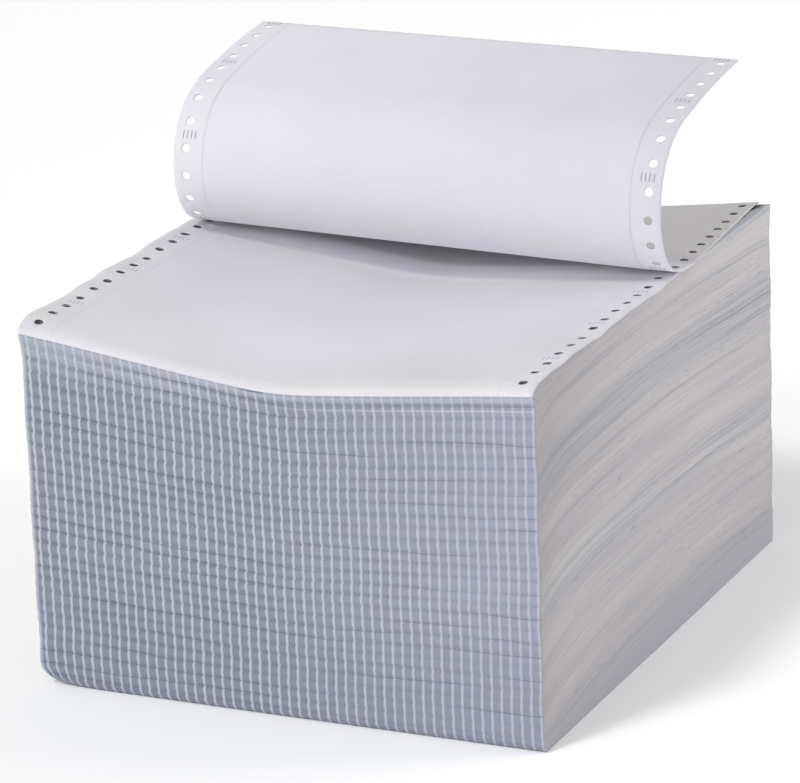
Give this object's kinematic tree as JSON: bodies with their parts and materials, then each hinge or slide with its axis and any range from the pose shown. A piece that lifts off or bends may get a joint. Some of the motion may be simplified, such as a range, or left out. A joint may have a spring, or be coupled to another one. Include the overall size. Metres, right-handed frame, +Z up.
{
  "type": "stack of continuous form paper",
  "caption": "Fan-folded stack of blank continuous form paper with sprocket-hole margins, its top page lifted at the front and curled back over the stack",
  "frame": {"origin": "middle of the bounding box at the height of the bottom page, where the stack stands", "axes": "+X across the page from its left to its right margin, +Y from the front folds to the back folds, +Z up"},
  "size_m": [0.2452, 0.2812, 0.2435],
  "materials": {
    "paper": "matt uncoated"
  },
  "bodies": {
    "root": {"form_stack": "paper"}
  },
  "joints": []
}
